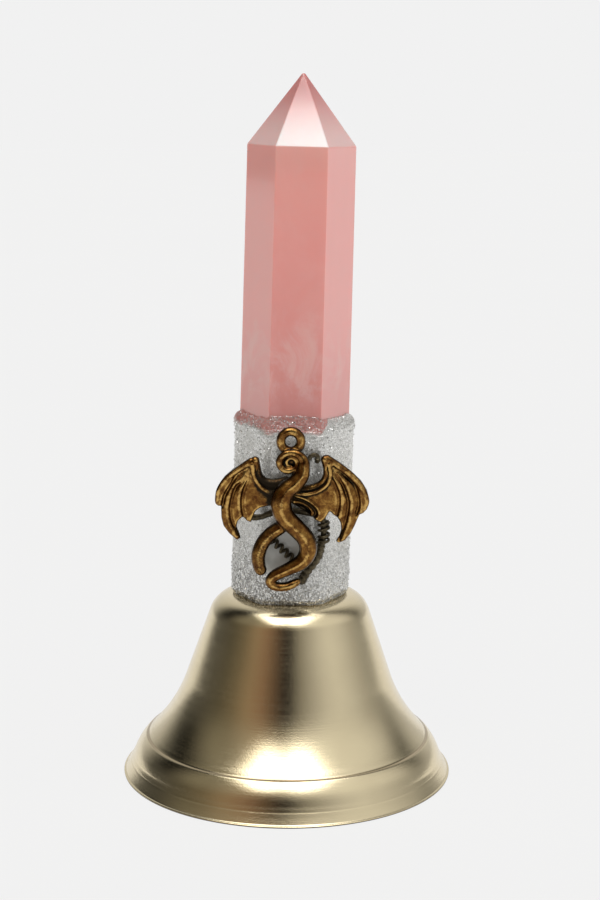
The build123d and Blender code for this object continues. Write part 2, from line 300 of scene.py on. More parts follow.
def bump(height, distance, strength=1.0):
    """A bump normal from a height."""
    return follow("ShaderNodeBump", {"Height": height, "Distance": distance, "Strength": strength}).outputs[0]


def spot(tree, scale=(1, 1, 1)):
    """Object coordinates in millimetres, stretched by a scale."""
    coordinates = put(tree, "ShaderNodeTexCoord").outputs["Object"]
    size = tuple(s / MM for s in scale)
    return put(tree, "ShaderNodeVectorMath", {0: coordinates, 1: size}, operation="MULTIPLY").outputs[0]


# ---------------------------------------------------------------- materials
def champagne_metal():
    """Satin champagne plating on spun metal: turning lines, sandy grain, painted shadow along the rim's
    bottom edge and darker brown along the score.
    """
    made, tree = material("champagne_metal")
    where = spot(tree)
    grain = noise(where, 3.2, 3.0, 0.7)
    lines = noise(spot(tree, (0.02, 0.02, 5.0)), 1.0, 3.0)
    cloud = noise(spot(tree, (0.08, 0.08, 0.12)), 1.0, 3.0)
    tint = ramp(cloud, [(0.3, (0.745, 0.635, 0.420)), (0.7, (0.805, 0.690, 0.460))])
    level = xyz(where)[2]
    # Painted contact shadow: below about 0.2 mm the rim's edge turns near black.
    tint = blend(span(level, 0.25, 0.15), tint, (0.06, 0.045, 0.028))
    # Darker brown along the scored line.
    from_score = maths("ABSOLUTE", maths("SUBTRACT", level, SCORE_LEVEL - 0.15))
    tint = blend(span(from_score, 0.20, 0.08, 0.0, 0.6), tint, (0.26, 0.19, 0.11))
    rough = maths("ADD", span(grain, 0.3, 0.7, -0.03, 0.04), span(lines, 0.3, 0.7, 0.155, 0.205))
    relief = maths("ADD", maths("MULTIPLY", grain, 1.6), lines)
    return dress(made, {
        "Base Color": tint,
        "Roughness": rough,
        "Normal": bump(relief, 0.010 * MM, 0.9),
        "Metallic": 1.0,
    })


def plated_steel():
    """Bright plated hardware with faint drawing marks."""
    made, tree = material("plated_steel")
    marks = noise(spot(tree), 3.0, 4.0)
    tint = ramp(marks, [(0.35, (0.50, 0.50, 0.48)), (0.65, (0.66, 0.66, 0.64))])
    return dress(made, {
        "Base Color": tint,
        "Roughness": span(marks, 0.3, 0.7, 0.2, 0.34),
        "Normal": bump(marks, 0.01 * MM, 0.5),
        "Metallic": 1.0,
    })


def clapper_brass():
    """Turned brass, a little tarnished."""
    made, tree = material("clapper_brass")
    tarnish = noise(spot(tree), 0.6, 5.0, 0.6)
    tint = ramp(tarnish, [(0.35, (0.34, 0.26, 0.13)), (0.6, (0.62, 0.50, 0.27))])
    lines = noise(spot(tree, (0.02, 0.02, 6.0)), 1.0, 2.0)
    return dress(made, {
        "Base Color": tint,
        "Roughness": span(tarnish, 0.3, 0.7, 0.38, 0.2),
        "Normal": bump(lines, 0.01 * MM, 0.6),
        "Metallic": 1.0,
    })


def rose_quartz():
    """Polished rose quartz, deeper in front and with milky veils low down; painted light makes its side
    facets paler, and a painted reflection whitens the tip's front facet.
    """
    made, tree = material("rose_quartz")
    where = spot(tree)
    height = xyz(where)[2]
    low, high = CROWN + COLLAR_TOP, CROWN + CRYSTAL_SHOULDER
    level = maths("DIVIDE", maths("SUBTRACT", height, low), high - low)
    body = ramp(level, [
        (0.0, (0.55, 0.180, 0.155)),
        (0.07, (0.62, 0.215, 0.190)),
        (0.28, (0.75, 0.295, 0.262)),
        (0.62, (0.83, 0.320, 0.282)),
        (0.9, (0.86, 0.360, 0.312)),
        (1.0, (0.87, 0.450, 0.400)),
    ])
    # Painted light: facets that face sideways are blended towards a paler pink that stands in for the bright
    # room they reflect and let through, those facing right a little brighter; low down this pale is darkened
    # a little.
    facet = xyz(put(tree, "ShaderNodeTexCoord").outputs["Normal"])
    sideways = span(maths("ABSOLUTE", facet[0]), 0.35, 0.7)
    across = maths("MULTIPLY_ADD", facet[0], 0.5, 0.5)
    pale = ramp(across, [(0.1, (0.93, 0.45, 0.415)), (0.9, (0.96, 0.475, 0.445))])
    pale = blend(span(level, 0.0, 0.5, 0.15, 0.0), pale, (0, 0, 0))
    body = blend(maths("MULTIPLY", sideways, 0.78), body, pale)
    drift = noise(spot(tree, (0.10, 0.10, 0.06)), 1.0, 4.0, 0.55, 0.5)
    body = blend(span(drift, 0.40, 0.72, 0.0, 0.3), body, (0.84, 0.44, 0.40))
    veil = noise(spot(tree, (0.15, 0.15, 0.10)), 1.0, 7.0, 0.66, 0.7)
    zone = maths("MULTIPLY", span(level, 0.03, 0.16), span(level, 0.5, 0.27))
    milk = maths("MULTIPLY", span(veil, 0.44, 0.68), maths("MULTIPLY", zone, 0.4))
    body = blend(milk, body, (0.80, 0.56, 0.53))
    upper = span(level, 1.0, 1.22)
    point = ramp(upper, [(0.0, (0.74, 0.44, 0.415)), (1.0, (0.55, 0.19, 0.18))])
    # Painted reflection: the tip's facet that faces front is near white at its foot and fades to pink towards
    # the apex.
    front = ramp(upper, [(0.0, (0.92, 0.84, 0.83)), (0.6, (0.85, 0.55, 0.54)), (1.0, (0.55, 0.20, 0.19))])
    point = blend(span(facet[1], -0.3, -0.7), point, front)
    body = blend(maths("MULTIPLY", span(facet[2], 0.2, 0.5), 0.95), body, point)
    polish = noise(where, 0.35, 3.0)
    return dress(made, {
        "Base Color": body,
        "Subsurface Weight": 0.5,
        "Subsurface Radius": (1.0, 0.45, 0.4),
        "Subsurface Scale": 2.0 * MM,
        "Roughness": 0.07,
        "IOR": 1.55,
        "Specular IOR Level": 0.72,
        "Normal": bump(polish, 0.02 * MM, 0.35),
    })


def glitter_resin():
    """Silver glitter in resin, every small cell a flake with its own tilt; low down and to the left it
    sparkles harder under painted shade; at the top the crystal shows.
    """
    made, tree = material("glitter_resin")
    where = spot(tree)
    coarse, fine = (cells(where, scale) for scale in (4.2, 10.0))
    bright = maths("MULTIPLY", maths("ADD", coarse[0], fine[0]), 0.5)
    patch = noise(spot(tree, (0.13, 0.13, 0.13)), 1.0, 4.0, 0.6)
    thread = noise(spot(tree, (3.0, 3.0, 0.5)), 1.0, 3.0, 0.7)
    shade = ramp(bright, [(0.16, (0.25, 0.245, 0.23)), (0.40, (0.86, 0.85, 0.81)), (0.8, (1.0, 1.0, 0.98))])
    shade = blend(span(patch, 0.40, 0.70, 0.0, 0.3), shade, (0.42, 0.41, 0.36))
    shade = blend(span(thread, 0.45, 0.75, 0.0, 0.3), shade, (0.90, 0.89, 0.86))
    place = xyz(where)
    # Painted shade with stronger sparkle: low down and towards the left, the glitter is mixed towards a
    # harsher ramp with a darker mean.
    low = maths("MULTIPLY", span(place[2], CROWN + 18, CROWN, 0.0, 0.8), span(place[0], 8, -4, 0.6, 1.0))
    sparkle_and_shade = ramp(coarse[2], [(0.2, (0.08, 0.08, 0.072)), (0.5, (0.32, 0.31, 0.28)), (0.72, (1, 1, 0.98))])
    shade = blend(low, shade, sparkle_and_shade)
    uneven = noise(spot(tree, (0.25, 0.25, 0.35)), 1.0, 5.0, 0.7)
    level = maths("ADD", place[2], span(uneven, 0.25, 0.75, -0.8, 0.8))
    level = maths("SUBTRACT", level, span(maths("ABSOLUTE", place[0]), 3.0, 7.5, 0.0, 0.6))
    level = maths("SUBTRACT", level, span(place[0], 5.5, 8.5, 0.0, 3.2))
    top = CROWN + COLLAR_TOP
    pink = span(level, top - 0.9, top + 0.1)
    pink = maths("MULTIPLY", pink, span(bright, 0.76, 0.60, 0.25, 1.0))
    shade = blend(pink, shade, (0.54, 0.225, 0.20))
    tilt = maths("ADD", coarse[1], maths("MULTIPLY", fine[1], 0.6))
    return dress(made, {
        "Base Color": shade,
        "Metallic": span(pink, 0.0, 1.0, 0.65, 0.0),
        "Roughness": span(bright, 0.2, 0.8, 0.45, 0.22),
        "Normal": bump(tilt, 0.16 * MM, 1.0),
        "Coat Weight": 0.2,
        "Coat Roughness": 0.2,
    })


def glitter_flake():
    """Bright metallised flakes."""
    made, tree = material("glitter_flake")
    pick = noise(spot(tree), 1.9, 1.0)
    tint = ramp(pick, [(0.35, (0.62, 0.62, 0.60)), (0.65, (0.95, 0.95, 0.94))])
    return dress(made, {
        "Base Color": tint,
        "Roughness": span(pick, 0.3, 0.7, 0.16, 0.3),
        "Metallic": 0.9,
    })


def cloudy_resin():
    """Resin that has set slightly cloudy over the glitter."""
    made, tree = material("cloudy_resin")
    cloud = noise(spot(tree), 0.5, 4.0, 0.6)
    tint = ramp(cloud, [(0.3, (0.60, 0.59, 0.54)), (0.7, (0.74, 0.73, 0.68))])
    return dress(made, {
        "Base Color": tint,
        "Normal": bump(cloud, 0.1 * MM, 0.5),
        "Roughness": 0.16,
        "Transmission Weight": 0.1,
    })


def antique_brass():
    """Antique plating: golden where it is worn by rubbing, with painted highlights on crests facing the
    front; red-brown on the flats; near black with patina in the recesses and with painted shade on steep
    sides and shaded limbs.
    """
    made, tree = material("antique_brass")
    patina_and_shade, rub_and_highlight, facing = (put(tree, "ShaderNodeAttribute", attribute_name=name).outputs["Fac"]
                              for name in ("patina_and_shade", "rub_and_highlight", "facing"))
    mottle = noise(spot(tree), 0.8, 6.0, 0.7, 0.3)
    fine = noise(spot(tree), 3.6, 4.0, 0.65)
    flat = ramp(mottle, [
        (0.33, (0.070, 0.024, 0.008)),
        (0.50, (0.18, 0.082, 0.020)),
        (0.67, (0.39, 0.215, 0.055)),
    ])
    # Golden where convex places face the front: partly worn by rubbing, partly a painted highlight.
    wear_and_highlight = maths("ADD", rub_and_highlight, span(mottle, 0.35, 0.65, -0.35, 0.25))
    shade = blend(span(wear_and_highlight, 0.48, 1.12, 0.0, 0.85), flat, (0.62, 0.39, 0.125))
    # Near black where the charm is hollow, which is patina, and on the left arm and the left wing's root,
    # which is painted shade; the second tail is darkened too.
    dark_patina_and_shade = maths("ADD", patina_and_shade, span(fine, 0.3, 0.7, -0.1, 0.1))
    shade = blend(span(dark_patina_and_shade, 0.22, 0.55), shade, (0.026, 0.019, 0.012))
    # Steep sides and low-lying surfaces turn near black: partly patina, partly painted shade.
    steep = maths("ADD", facing, span(fine, 0.3, 0.7, -0.08, 0.08))
    shade = blend(span(steep, 0.80, 0.22), shade, (0.035, 0.024, 0.013))
    rough = maths("ADD", span(dark_patina_and_shade, 0.2, 0.7, 0.20, 0.5), span(fine, 0.3, 0.7, -0.06, 0.08))
    return dress(made, {
        "Base Color": shade,
        "Roughness": rough,
        "Normal": bump(fine, 0.02 * MM, 0.7),
        "Metallic": 1.0,
    })


def dark_wire():
    """Tarnished wire with a little resin and glitter dust on it."""
    made, tree = material("dark_wire")
    dust = noise(spot(tree), 1.6, 5.0, 0.7)
    tint = ramp(dust, [(0.35, (0.035, 0.028, 0.018)), (0.55, (0.1, 0.08, 0.045)), (0.75, (0.27, 0.24, 0.17))])
    return dress(made, {
        "Base Color": tint,
        "Roughness": span(dust, 0.3, 0.7, 0.3, 0.5),
        "Normal": bump(dust, 0.03 * MM, 0.5),
        "Metallic": 0.85,
    })


def putty():
    """Cured grey putty, hidden in the collar."""
    made, tree = material("putty")
    speck = noise(spot(tree), 1.2, 4.0)
    tint = ramp(speck, [(0.3, (0.30, 0.30, 0.28)), (0.7, (0.42, 0.42, 0.40))])
    return dress(made, {
        "Base Color": tint,
        "Normal": bump(speck, 0.05 * MM),
        "Roughness": 0.7,
    })


# ---------------------------------------------------------------- studio
def pale_floor():
    """A faintly glowing floor that is clear when it is looked at from below."""
    made, tree = material("studio_floor")
    drift = noise(spot(tree, (0.01, 0.01, 0.01)), 1.0, 2.0)
    behind = put(tree, "ShaderNodeNewGeometry").outputs["Backfacing"]
    return dress(made, {
        "Base Color": ramp(drift, [(0.3, (0.080, 0.080, 0.080)), (0.7, (0.082, 0.082, 0.082))]),
        "Roughness": 0.9,
        "Specular IOR Level": 0.0,
        "Emission Color": (1, 1, 1, 1),
        "Emission Strength": FLOOR_GLOW,
        "Alpha": maths("SUBTRACT", 1.0, behind),
    })


def studio_floor():
    """A wide floor that takes only a faint shadow."""
    mesh = bpy.data.meshes.new("floor")
    corners = [(x * FLOOR_REACH, y * FLOOR_REACH, 0) for x, y in ((-1, -1), (1, -1), (1, 1), (-1, 1))]
    mesh.from_pydata(corners, [], [(0, 1, 2, 3)])
    mesh.materials.append(pale_floor())
    floor = bpy.data.objects.new("floor", mesh)
    bpy.context.scene.collection.objects.link(floor)


def studio_world():
    """A pale room: a soft overhead panel, open to the right, with dark stands to the left and in front."""
    world = bpy.data.worlds.new("studio")
    world.use_nodes = True
    tree = world.node_tree
    axes = xyz(put(tree, "ShaderNodeTexCoord").outputs["Generated"])
    backward = maths("MULTIPLY", axes[1], -1.0)
    turn = maths("ARCTAN2", axes[0], backward)
    round_room = maths("ADD", maths("DIVIDE", turn, 2 * pi), 0.5)
    low, high = (ramp(round_room, [(0.5 + angle / 360, colour) for angle, colour in walls])
                 for walls in (ROOM_WALLS, HIGH_WALLS))
    rise = maths("MULTIPLY_ADD", backward, -0.25, axes[2])
    walls = blend(span(rise, 0.20, 0.55), low, high)
    upward = maths("MAXIMUM", axes[2], 0.02)
    aside = maths("SUBTRACT", maths("DIVIDE", axes[0], upward), PANEL_MIDDLE)
    panel = maths("MULTIPLY", span(maths("ABSOLUTE", aside), 0.02, 0.16, 0.55, 1.0), PANEL_LIGHT)
    for axis, sides in PANEL_SIDES.items():
        across = maths("DIVIDE", axes[axis], upward)
        for start, full in sides:
            panel = maths("MULTIPLY", span(across, start, full), panel)
    light = follow("ShaderNodeCombineColor", {0: panel, 1: panel, 2: panel}).outputs[0]
    room = blend(1.0, walls, light, "ADD")
    seen = put(tree, "ShaderNodeLightPath").outputs["Is Camera Ray"]
    shown = blend(seen, room, (BACKDROP, BACKDROP, BACKDROP))
    feed(tree.nodes["Background"], {"Color": shown})
    bpy.context.scene.world = world


def camera():
    """A long lens a little above the bell, looking slightly down."""
    data = bpy.data.cameras.new("camera")
    data.lens = CAMERA_LENS
    data.sensor_width = 36.0
    data.clip_start = 0.01
    made = bpy.data.objects.new("camera", data)
    turn = Matrix.Rotation(radians(CAMERA_TURN), 4, "Z") @ Matrix.Rotation(radians(90 - CAMERA_DOWN), 4, "X")
    turn = turn @ Matrix.Rotation(radians(CAMERA_ROLL), 4, "Z")
    made.matrix_world = Matrix.Translation(CAMERA_PLACE) @ turn
    bpy.context.scene.collection.objects.link(made)
    bpy.context.scene.camera = made


CAMERA_LENS = 75.06
CAMERA_PLACE = (0, -0.3317, 0.1258)
CAMERA_TURN, CAMERA_DOWN, CAMERA_ROLL = -0.359, 11.22, 0.4
FLOOR_REACH = 3.0
FLOOR_GLOW = 0.798
BACKDROP = 0.88
# Light of the room by compass angle: 0 is straight in front of the bell and +90 is to its right.
ROOM_WALLS = [
    (-180, (0.85, 0.85, 0.85)), (-145, (0.62, 0.62, 0.62)), (-124, (0.09, 0.09, 0.085)),
    (-104, (0.080, 0.078, 0.070)), (-82, (0.085, 0.077, 0.056)), (-64, (0.16, 0.133, 0.09)),
    (-46, (0.30, 0.225, 0.150)), (-32, (0.27, 0.170, 0.112)), (-17, (0.11, 0.070, 0.045)),
    (-7, (0.018, 0.014, 0.011)), (2, (0.022, 0.020, 0.018)), (12, (0.22, 0.212, 0.192)),
    (27, (0.42, 0.415, 0.40)), (42, (0.62, 0.62, 0.61)), (57, (0.72, 0.72, 0.71)),
    (74, (0.62, 0.62, 0.61)), (93, (0.43, 0.43, 0.42)), (116, (0.30, 0.30, 0.29)),
    (150, (0.60, 0.60, 0.60)), (180, (0.85, 0.85, 0.85)),
]
HIGH_WALLS = [
    (-180, (0.85, 0.85, 0.85)), (-150, (0.66, 0.66, 0.65)), (-140, (0.50, 0.50, 0.49)),
    (-129, (0.13, 0.13, 0.122)), (-118, (0.006, 0.006, 0.005)), (-107, (0.010, 0.010, 0.008)),
    (-95, (0.125, 0.118, 0.098)), (-82, (0.225, 0.211, 0.168)), (-66, (0.23, 0.212, 0.170)),
    (-48, (0.33, 0.29, 0.23)), (-30, (0.36, 0.30, 0.22)), (-14, (0.22, 0.19, 0.145)),
    (-3, (0.31, 0.29, 0.25)), (6, (0.66, 0.65, 0.61)), (20, (0.80, 0.79, 0.77)),
    (40, (0.88, 0.88, 0.86)), (58, (0.82, 0.82, 0.80)), (84, (0.78, 0.78, 0.77)),
    (100, (0.64, 0.64, 0.63)), (112, (0.32, 0.32, 0.31)), (121, (0.08, 0.08, 0.075)),
    (132, (0.36, 0.36, 0.35)), (148, (0.76, 0.76, 0.76)), (180, (0.85, 0.85, 0.85)),
]
# The overhead panel: on each side, where its light starts and where it is full; and its dimmer middle.
PANEL_SIDES = {0: [(-0.66, -0.30), (0.60, 0.17)], 1: [(-1.10, -0.66), (0.30, 0.0)]}
PANEL_MIDDLE = -0.06
PANEL_LIGHT = 3.4

camera()
studio_floor()
studio_world()
bpy.context.scene.view_settings.view_transform = "Standard"


# ---------------------------------------------------------------- bell
BELL_WALL = 0.9
BELL_LEAN = 0.42
FLANK_TILT = radians(19.0)
SHOULDER_ROUND = 5.0
STUD_HOLE = 2.06
SCORE_LEVEL, CREASE_LEVEL = 7.15, 2.35


def arc(start, middle, end, count):
    """Points of the arc through three points."""
    a, b, c = (complex(*point) for point in (start, middle, end))
    w = (c - a) / (b - a)
    centre = (b - a) * (w - abs(w) ** 2) / (2j * w.imag) + a
    swing = np.angle((c - centre) / (a - centre))
    if np.sign(swing) != np.sign(np.angle((b - centre) / (a - centre))):
        swing -= np.sign(swing) * 2 * pi
    points = centre + (a - centre) * np.exp(1j * swing * np.linspace(0, 1, count))
    return np.stack([points.real, points.imag], 1)


def tangent_arc(start, end, direction, count):
    """Points of the arc from one point to another that leaves in a direction."""
    start, end = np.array(start), np.array(end)
    chord = end - start
    normal = np.array([-direction[1], direction[0]])
    radius = chord @ chord / (2 * normal @ chord)
    centre = start + normal * radius
    first = start - centre
    swing = 2 * np.arctan2(direction[0] * chord[1] - direction[1] * chord[0], direction @ chord)
    turn = swing * np.linspace(0, 1, count)
    across = np.array([-first[1], first[0]])
    return centre + np.cos(turn)[:, None] * first + np.sin(turn)[:, None] * across


def bell():
    """The spun shell: crown, flank, flare and lip, a scored line above the lip and a crease round it."""
    down = np.array([sin(FLANK_TILT), -cos(FLANK_TILT)])
    flank_foot, flare_foot = np.array([18.8, 18.0]), np.array([25.6, 7.1])
    lip_top, lip_foot = np.array([26.05, 6.85]), np.array([28.3, 3.2])
    corner = flank_foot - down * (CROWN - flank_foot[1]) / cos(FLANK_TILT)
    run = SHOULDER_ROUND * tan((pi / 2 - FLANK_TILT) / 2)
    crown_edge, flank_head = corner - [run, 0], corner + down * run
    rim_top, rim = np.array([RIM_RADIUS - 0.12, 0.44]), np.array([RIM_RADIUS + 0.22, 0.26])
    outer = np.vstack([
        np.linspace([STUD_HOLE, CROWN], crown_edge, 20)[:-1],
        tangent_arc(crown_edge, flank_head, np.array([1.0, 0.0]), 26)[:-1],
        np.linspace(flank_head, flank_foot, 30)[:-1],
        tangent_arc(flank_foot, flare_foot, down, 44)[:-1],
        np.linspace(flare_foot, lip_top, 4)[:-1],
        arc(lip_top, (27.45, 5.05), lip_foot, 26)[:-1],
        arc(lip_foot, (29.02, 1.78), rim_top, 24)[:-1],
        tangent_arc(rim_top, rim, np.array([0.94, -0.34]), 5),
    ])
    along = unit(np.gradient(outer, axis=0))
    outward = np.stack([-along[:, 1], along[:, 0]], 1)
    inner = outer - outward * BELL_WALL
    inner = inner[inner[:, 1] > 0.1]
    level = outer[:, 1]
    score = 0.055 * np.exp(-((level - SCORE_LEVEL) / 0.16) ** 2)
    crease = 0.022 * np.exp(-((level - CREASE_LEVEL) / 0.14) ** 2)
    outer = outer - outward * (score + crease)[:, None]
    edge = np.array([[rim[0] - 0.02, 0.08], [rim[0] - 0.14, 0.0], [rim[0] - BELL_WALL - 0.1, 0.0]])
    outline = np.vstack([outer, edge, inner[::-1]])
    points, faces = lathe(outline, 256)
    points[:, 0] += BELL_LEAN * np.clip(points[:, 2] / CROWN, 0, 1)
    piece("spun_bell", points, faces[:, ::-1], "bell", bell_finish, ["bell_shell"])


bell_finish = champagne_metal()
bell()


# ---------------------------------------------------------------- fittings
steel = plated_steel()
brass = clapper_brass()
for node, finish in (
    ("crown_eye_bolt", steel),
    ("inner_washer", steel),
    ("outer_washer", steel),
    ("crown_nut", steel),
    ("jump_ring", steel),
    ("clapper_wire", steel),
    ("clapper_ball", brass),
    ("epoxy_core", putty()),
):
    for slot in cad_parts[node].material_slots:
        slot.material = finish


# ---------------------------------------------------------------- crystal
def crystal():
    """The six-sided point, its edges ground just off sharp."""
    shape = bmesh.new()
    rings = []
    for height, size in ((CRYSTAL_BASE, 1.0), (CRYSTAL_SHOULDER, TAPER)):
        across, depth = CRYSTAL_CORNERS.T * size
        rings.append([shape.verts.new(point) for point in on_handle(across, depth, np.full(6, height))])
    tip = shape.verts.new(on_handle(np.array(0.0), np.array(0.0), np.array(CRYSTAL_TIP)))
    shape.faces.new(rings[0][::-1])
    for k in range(6):
        after = (k + 1) % 6
        shape.faces.new((rings[0][k], rings[0][after], rings[1][after], rings[1][k]))
        shape.faces.new((rings[1][k], rings[1][after], tip))
    bmesh.ops.bevel(shape, geom=shape.edges[:], offset=0.22, segments=3, profile=0.6, affect="EDGES")
    bmesh.ops.triangulate(shape, faces=[face for face in shape.faces if len(face.verts) > 4])
    points = [tuple(v.co) for v in shape.verts]
    faces = [tuple(v.index for v in face.verts) for face in shape.faces]
    made = piece("quartz_point", points, faces, "bell", rose_quartz(), ["crystal_point"])
    made.modifiers.new("even_shading", "WEIGHTED_NORMAL").weight = 100
    shape.free()


crystal()


# ---------------------------------------------------------------- collar
def sleeve_outline(wall, corner):
    """The crystal's section grown by a wall and rounded: even points (across, depth) and their normals."""
    edge = np.roll(CRYSTAL_CORNERS, -1, 0) - CRYSTAL_CORNERS
    after = unit(np.stack([edge[:, 1], -edge[:, 0]], 1))
    before = np.roll(after, 1, 0)
    centres = CRYSTAL_CORNERS + (wall - corner) * (before + after) / (1 + (before * after).sum(1))[:, None]
    points, normals = [], []
    for centre, first, last in zip(centres, before, after):
        start = np.arctan2(first[1], first[0])
        turn = (np.arctan2(last[1], last[0]) - start) % (2 * pi)
        angle = start + turn * np.linspace(0, 1, 16)[:, None]
        normals.append(np.hstack([np.cos(angle), np.sin(angle)]))
        points.append(centre + corner * normals[-1])
    points.append(points[0][:1])
    normals.append(normals[0][:1])
    points, normals = np.concatenate(points), np.concatenate(normals)
    length = np.append(0, np.cumsum(np.linalg.norm(np.diff(points, axis=0), axis=1)))
    at = np.arange(COLLAR_COLUMNS) / COLLAR_COLUMNS * length[-1]
    points, normals = (np.stack([np.interp(at, length, values[:, k]) for k in (0, 1)], 1)
                       for values in (points, normals))
    return points, unit(normals)


def ripple(points, size, octaves):
    """Smooth noise between about -1 and 1 at points, for lumps of a given size."""
    return np.array([noise_field.fractal(Vector(p), 1.0, 2.0, octaves) for p in np.asarray(points) / size])


def grid_normals(points):
    """Outward unit normals of a grid of points, rows upward and columns anticlockwise."""
    along = np.roll(points, -1, 1) - np.roll(points, 1, 1)
    up = np.gradient(points, axis=0)
    normals = np.cross(along, up)
    return normals / np.maximum(np.linalg.norm(normals, axis=2), 1e-9)[..., None]


def sleeve(rows, wall, corner, lumps):
    """A sleeve round the crystal from rows of (inset, height for each column), with lumps pushed outwards.

    The lumps are layers of noise: how deep, of what size, of how many octaves and shifted by how much.
    """
    outline, normals = sleeve_outline(wall, corner)
    points = []
    for inset, height in rows:
        across, depth = (outline - normals * np.reshape(inset, (-1, 1))).T
        points.append(on_handle(across, depth, height + 0 * across))
    points = np.array(points)
    flat = points.reshape(-1, 3)
    push = sum(deep * ripple(flat + shift, size, octaves) for deep, size, octaves, shift in lumps)
    return points + push.reshape(points.shape[:2])[..., None] * grid_normals(points)


def resin_piece(name, points, node):
    """A sleeve of silver resin as a piece that stands for a CAD node."""
    faces = grid_faces(*points.shape[:2], wrap_rows=True)
    piece(name, points.reshape(-1, 3), faces, "bell", silver_resin, [node])


COLLAR_WALL = COLLAR_FRONT - HALF_DEPTH
COLLAR_TOP_ROUND = 0.45
COLLAR_COLUMNS = 420
COLLAR_CORNER = 4.5
COLLAR_FOOT_ROUND = 1.1
GLAZE_CORNER = 1.4
RESIN_SHRINK = 0.12


def level_foot(outline, lift):
    """Heights on the leaning handle that lie level on the crown."""
    return lift - outline[:, 0] * (ACROSS[2] / UP[2])


def edge_noise(outline, size, octaves, seed):
    """Unevenness of an edge, one value for each column."""
    return ripple(np.column_stack([outline, np.full(len(outline), seed)]), size, octaves)


def collar():
    """The glitter-filled resin sleeve: rounded foot, softly lumpy wall, and a top that thins out unevenly."""
    outline = sleeve_outline(COLLAR_WALL, COLLAR_CORNER)[0]
    foot = level_foot(outline, 0.03)
    top = COLLAR_TOP + 0.15 + 0.22 * edge_noise(outline, 5.0, 3, 0) + 0.16 * edge_noise(outline, 1.3, 2, 40)
    rows = [(COLLAR_WALL + 0.5, foot + 3.0), (COLLAR_FOOT_ROUND + 0.4, foot)]
    for turn in np.linspace(0, pi / 2, 9):
        rows.append((COLLAR_FOOT_ROUND * (1 - sin(turn)), foot + COLLAR_FOOT_ROUND * (1 - cos(turn))))
    start = foot + COLLAR_FOOT_ROUND
    for rise in np.linspace(0, 1, 112)[1:]:
        rows.append((0.0, start + rise * (top - COLLAR_TOP_ROUND - start)))
    for turn in np.linspace(0, pi / 2, 6)[1:]:
        rows.append((COLLAR_TOP_ROUND * (1 - cos(turn)), top - COLLAR_TOP_ROUND * (1 - sin(turn))))
    rows.append((COLLAR_WALL + 0.5, top))
    rows = [(inset + RESIN_SHRINK, height) for inset, height in rows]
    lumps = [(0.08, 3.2, 2, 0), (0.04, 0.42, 1, 9), (0.03, 0.2, 1, 5)]
    points = sleeve(rows, COLLAR_WALL, COLLAR_CORNER, lumps)
    resin_piece("collar_sleeve", points, "glitter_collar")
    return points[3:-2]


def glaze():
    """The last skin of resin, creeping up the crystal above the collar and thinning out."""
    outline, normals = sleeve_outline(0.0, GLAZE_CORNER)
    front = np.clip(-normals[:, 1], 0, 1) ** 2
    top = GLAZE_TOP - 0.45 + 0.35 * edge_noise(outline, 4.0, 3, 17) + 0.2 * edge_noise(outline, 0.9, 2, 3)
    top += 0.9 * front
    low = COLLAR_TOP - 1.0
    rows = [(0.5, low)]
    for rise in np.linspace(0, 1, 24):
        lip, film = (1 - rise**3) ** 0.5, (1 - rise) ** 1.3
        rows.append((0.06 - (COLLAR_WALL - 0.08) * (lip + front * (film - lip)), low + rise * (top - low)))
    rows.append((0.5, top - 0.2))
    lumps = [(0.10, 1.7, 2, 21), (0.06, 0.5, 1, 9), (0.04, 0.24, 1, 0)]
    points = sleeve(rows, 0.0, GLAZE_CORNER, lumps)
    resin_piece("glaze_skin", points, "glaze_rim")
    return points[4:-2]


def foot_bead():
    """Resin squeezed out where the collar's foot meets the crown, more of it towards the corners."""
    outline, normals = sleeve_outline(COLLAR_WALL, COLLAR_CORNER)
    foot = level_foot(outline, 0.0)
    spread = 0.24 + 0.2 * (2.2 * abs(normals[:, 0] * normals[:, 1])) ** 1.5
    rows = [(1.7, foot - 0.03)]
    for turn in np.linspace(0, pi / 2, 10):
        rows.append((0.95 - spread * cos(turn), foot + (0.2 + 0.5 * spread) * sin(turn)))
    rows.append((1.7, foot + 0.3))
    points = sleeve(rows, COLLAR_WALL, COLLAR_CORNER, [(0.09, 1.4, 3, 0)])
    points[..., 2] = np.maximum(points[..., 2], CROWN - 0.05)
    resin_piece("foot_bead", points, "crown_glue_bed")


def flakes(name, surfaces, rng):
    """Thin six-sided flakes scattered on surfaces, each (grid of points, how many), at their own tilts."""
    centres, facing = [], []
    for grid, count in surfaces:
        normals = grid_normals(grid)
        row, column = rng.integers(1, grid.shape[0] - 1, count), rng.integers(0, grid.shape[1], count)
        centres.append(grid[row, column] + rng.normal(0, 0.06, (count, 3)))
        facing.append(normals[row, column])
    centres, facing = np.concatenate(centres), np.concatenate(facing)
    facing = unit(facing + rng.normal(0, 0.42, facing.shape))
    side = unit(np.cross(facing, rng.normal(0, 1, facing.shape)))
    up = np.cross(facing, side)
    size = rng.uniform(0.07, 0.14, len(centres))
    turn = np.arange(6) * pi / 3
    spokes = np.cos(turn)[:, None] * side[:, None] + np.sin(turn)[:, None] * up[:, None]
    rim = centres[:, None] + spokes * size[:, None, None]
    lift = facing[:, None] * 0.02
    points = np.concatenate([rim + lift, rim - lift], 1).reshape(-1, 3)
    ring = np.arange(6)
    sides = [(k, k + 6, (k + 1) % 6 + 6, (k + 1) % 6) for k in ring]
    faces = []
    for first in range(0, len(points), 12):
        faces.append(tuple(first + ring))
        faces.append(tuple(first + 6 + ring[::-1]))
        faces.extend([tuple(first + k for k in quad) for quad in sides])
    piece(name, points, faces, "bell", glitter_flake(), smooth=False)


